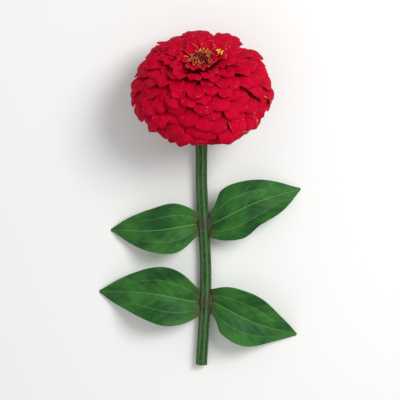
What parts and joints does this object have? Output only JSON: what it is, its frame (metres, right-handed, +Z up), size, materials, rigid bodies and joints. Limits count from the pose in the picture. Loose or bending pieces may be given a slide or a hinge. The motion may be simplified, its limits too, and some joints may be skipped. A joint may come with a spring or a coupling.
{
  "type": "zinnia flower",
  "caption": "Picked double zinnia: a full round bloom of overlapping red petals on a cut green stem with opposite leaves, lying on a surface.",
  "frame": {"origin": "on the surface that the flower lies on, under the middle of the whole flower", "axes": "+Z up from the surface; +Y along the stem from the cut end towards the bloom; +X to the right when seen from above with the bloom at the top"},
  "size_m": [0.1355, 0.2208, 0.0759],
  "materials": {
    "petal": "soft satin, deep crimson red, finely furrowed along",
    "floret": "soft satin, golden yellow",
    "heart": "matte, dark crimson",
    "receptacle": "matte, pale green",
    "bract": "soft satin, green with a dark rim",
    "stem": "soft satin, green, finely ribbed and hairy",
    "leaf": "soft satin, green with paler veins"
  },
  "bodies": {
    "root": {"bracts_inner": "bract", "bracts_middle": "bract", "bracts_outer": "bract", "disc_florets": "floret", "floret_heart": "heart", "leaf_lower_left": "leaf", "leaf_lower_right": "leaf", "leaf_upper_left": "leaf", "leaf_upper_right": "leaf", "petal_01": "petal", "petal_02": "petal", "petal_03": "petal", "petal_04": "petal", "petal_05": "petal", "petal_06": "petal", "petal_07": "petal", "petal_08": "petal", "petal_09": "petal", "petal_10": "petal", "petal_11": "petal", "petal_12": "petal", "petal_13": "petal", "petal_14": "petal", "petal_15": "petal", "petal_16": "petal", "petal_17": "petal", "petal_18": "petal", "petal_19": "petal", "petal_20": "petal", "petal_21": "petal", "petal_22": "petal", "petal_23": "petal", "petal_24": "petal", "petal_25": "petal", "petal_26": "petal", "petal_27": "petal", "petal_28": "petal", "petal_29": "petal", "petal_30": "petal", "petal_31": "petal", "petal_32": "petal", "petal_33": "petal", "petal_34": "petal", "petal_35": "petal", "petal_36": "petal", "petal_37": "petal", "petal_38": "petal", "petal_39": "petal", "petal_crown_1": "petal", "petal_crown_2": "petal", "petal_crown_3": "petal", "petal_crown_4": "petal", "petal_crown_5": "petal", "petal_crown_6": "petal", "petal_crown_7": "petal", "petal_crown_8": "petal", "petal_crown_9": "petal", "receptacle": "receptacle", "stem": "stem"}
  },
  "joints": []
}
